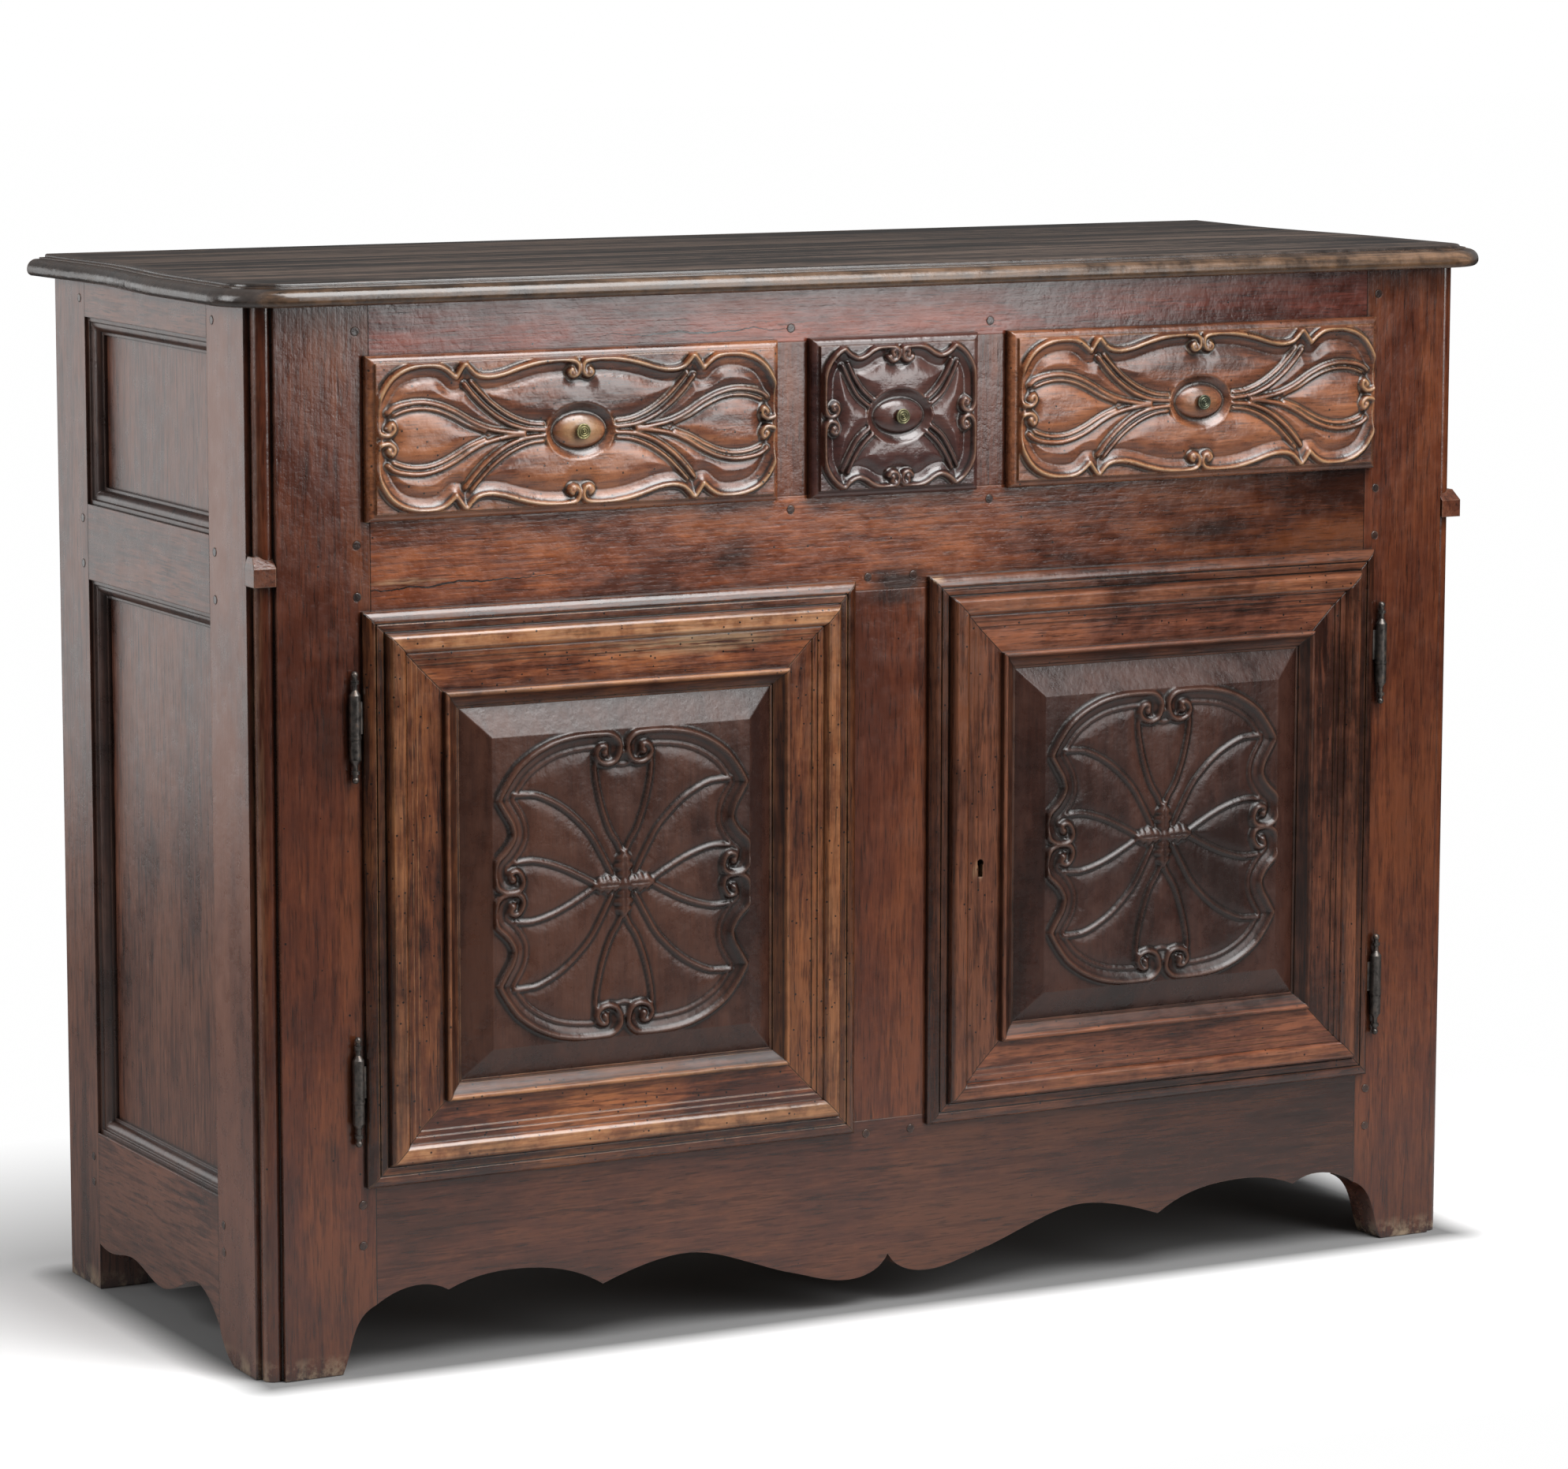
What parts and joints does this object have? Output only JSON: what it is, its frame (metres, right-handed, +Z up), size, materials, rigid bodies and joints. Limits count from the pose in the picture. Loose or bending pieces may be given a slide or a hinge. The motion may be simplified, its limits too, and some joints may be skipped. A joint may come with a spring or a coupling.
{
  "type": "credenza",
  "caption": "Old carved walnut credenza: drawers over panelled doors with moulded frames, in a joined frame-and-panel carcass with a wavy-ended top, shaped apron and bracket feet.",
  "frame": {"origin": "on the floor, under the middle of the whole width and depth", "axes": "+X along the front to the viewer's right, +Y from the front to the back, +Z up"},
  "size_m": [1.384, 0.536, 1.0212],
  "materials": {
    "walnut_front": "worn wax polish",
    "walnut_top": "worn wax polish",
    "walnut_side": "dull, faded",
    "inner_wood": "bare",
    "iron": "black, worn",
    "brass": "tarnished"
  },
  "bodies": {
    "frame": {"top_boards": "walnut_top", "front_left_post": "walnut_front", "front_right_post": "walnut_front", "back_left_post": "walnut_side", "back_right_post": "walnut_side", "front_top_rail": "walnut_front", "front_middle_rail": "walnut_front", "front_apron_rail": "walnut_front", "centre_stile": "walnut_front", "drawer_dividers": "walnut_front", "left_side_top_rail": "walnut_side", "left_side_middle_rail": "walnut_side", "left_side_apron_rail": "walnut_side", "left_side_panels": "walnut_side", "left_side_panel_mouldings": "walnut_side", "right_side_top_rail": "walnut_side", "right_side_middle_rail": "walnut_side", "right_side_apron_rail": "walnut_side", "right_side_panels": "walnut_side", "right_side_panel_mouldings": "walnut_side", "back_top_rail": "inner_wood", "back_middle_rail": "inner_wood", "back_bottom_rail": "inner_wood", "back_boards": "inner_wood", "floor_boards": "inner_wood", "shelf_boards": "inner_wood", "shelf_bearers": "inner_wood", "drawer_runners": "inner_wood", "drawer_guides": "inner_wood", "corner_blocks": "walnut_front", "frame_pegs": "walnut_front", "frame_hinge_pins": "iron"},
    "left_door": {"left_door_hinge_stile": "walnut_front", "left_door_rails": "walnut_front", "left_door_panel": "walnut_front", "left_door_panel_moulding": "walnut_front", "left_door_hinge_knuckles": "iron", "left_door_meeting_stile": "walnut_front"},
    "left_door_turn_button": {"left_door_turn_button": "inner_wood"},
    "right_door": {"right_door_hinge_stile": "walnut_front", "right_door_rails": "walnut_front", "right_door_panel": "walnut_front", "right_door_panel_moulding": "walnut_front", "right_door_hinge_knuckles": "iron", "right_door_lock_stile": "walnut_front", "right_door_lock_case": "iron"},
    "right_door_lock_bolt": {"right_door_lock_bolt": "iron"},
    "left_drawer": {"left_drawer_front": "walnut_front", "left_drawer_box": "inner_wood", "left_drawer_bottom": "inner_wood", "left_drawer_knob": "brass"},
    "centre_drawer": {"centre_drawer_front": "walnut_front", "centre_drawer_box": "inner_wood", "centre_drawer_bottom": "inner_wood", "centre_drawer_knob": "brass"},
    "right_drawer": {"right_drawer_front": "walnut_front", "right_drawer_box": "inner_wood", "right_drawer_bottom": "inner_wood", "right_drawer_knob": "brass"}
  },
  "joints": [
    {"name": "left_door_hinge", "type": "hinge", "parent": "frame", "child": "left_door", "pos_m": [-0.5672, -0.2442, 0.45], "axis": [0, 0, -1], "range_deg": [0, 125]},
    {"name": "right_door_hinge", "type": "hinge", "parent": "frame", "child": "right_door", "pos_m": [0.5672, -0.2442, 0.45], "axis": [0, 0, 1], "range_deg": [0, 125]},
    {"name": "turn_button", "type": "hinge", "parent": "left_door", "child": "left_door_turn_button", "pos_m": [-0.071, -0.2, 0.4465], "axis": [0, 1, 0], "range_deg": [0, 90]},
    {"name": "lock_bolt", "type": "slide", "parent": "right_door", "child": "right_door_lock_bolt", "axis": [-1, 0, 0], "range_m": [0, 0.012]},
    {"name": "left_drawer_slide", "type": "slide", "parent": "frame", "child": "left_drawer", "axis": [0, -1, 0], "range_m": [0, 0.3]},
    {"name": "centre_drawer_slide", "type": "slide", "parent": "frame", "child": "centre_drawer", "axis": [0, -1, 0], "range_m": [0, 0.3]},
    {"name": "right_drawer_slide", "type": "slide", "parent": "frame", "child": "right_drawer", "axis": [0, -1, 0], "range_m": [0, 0.3]}
  ]
}
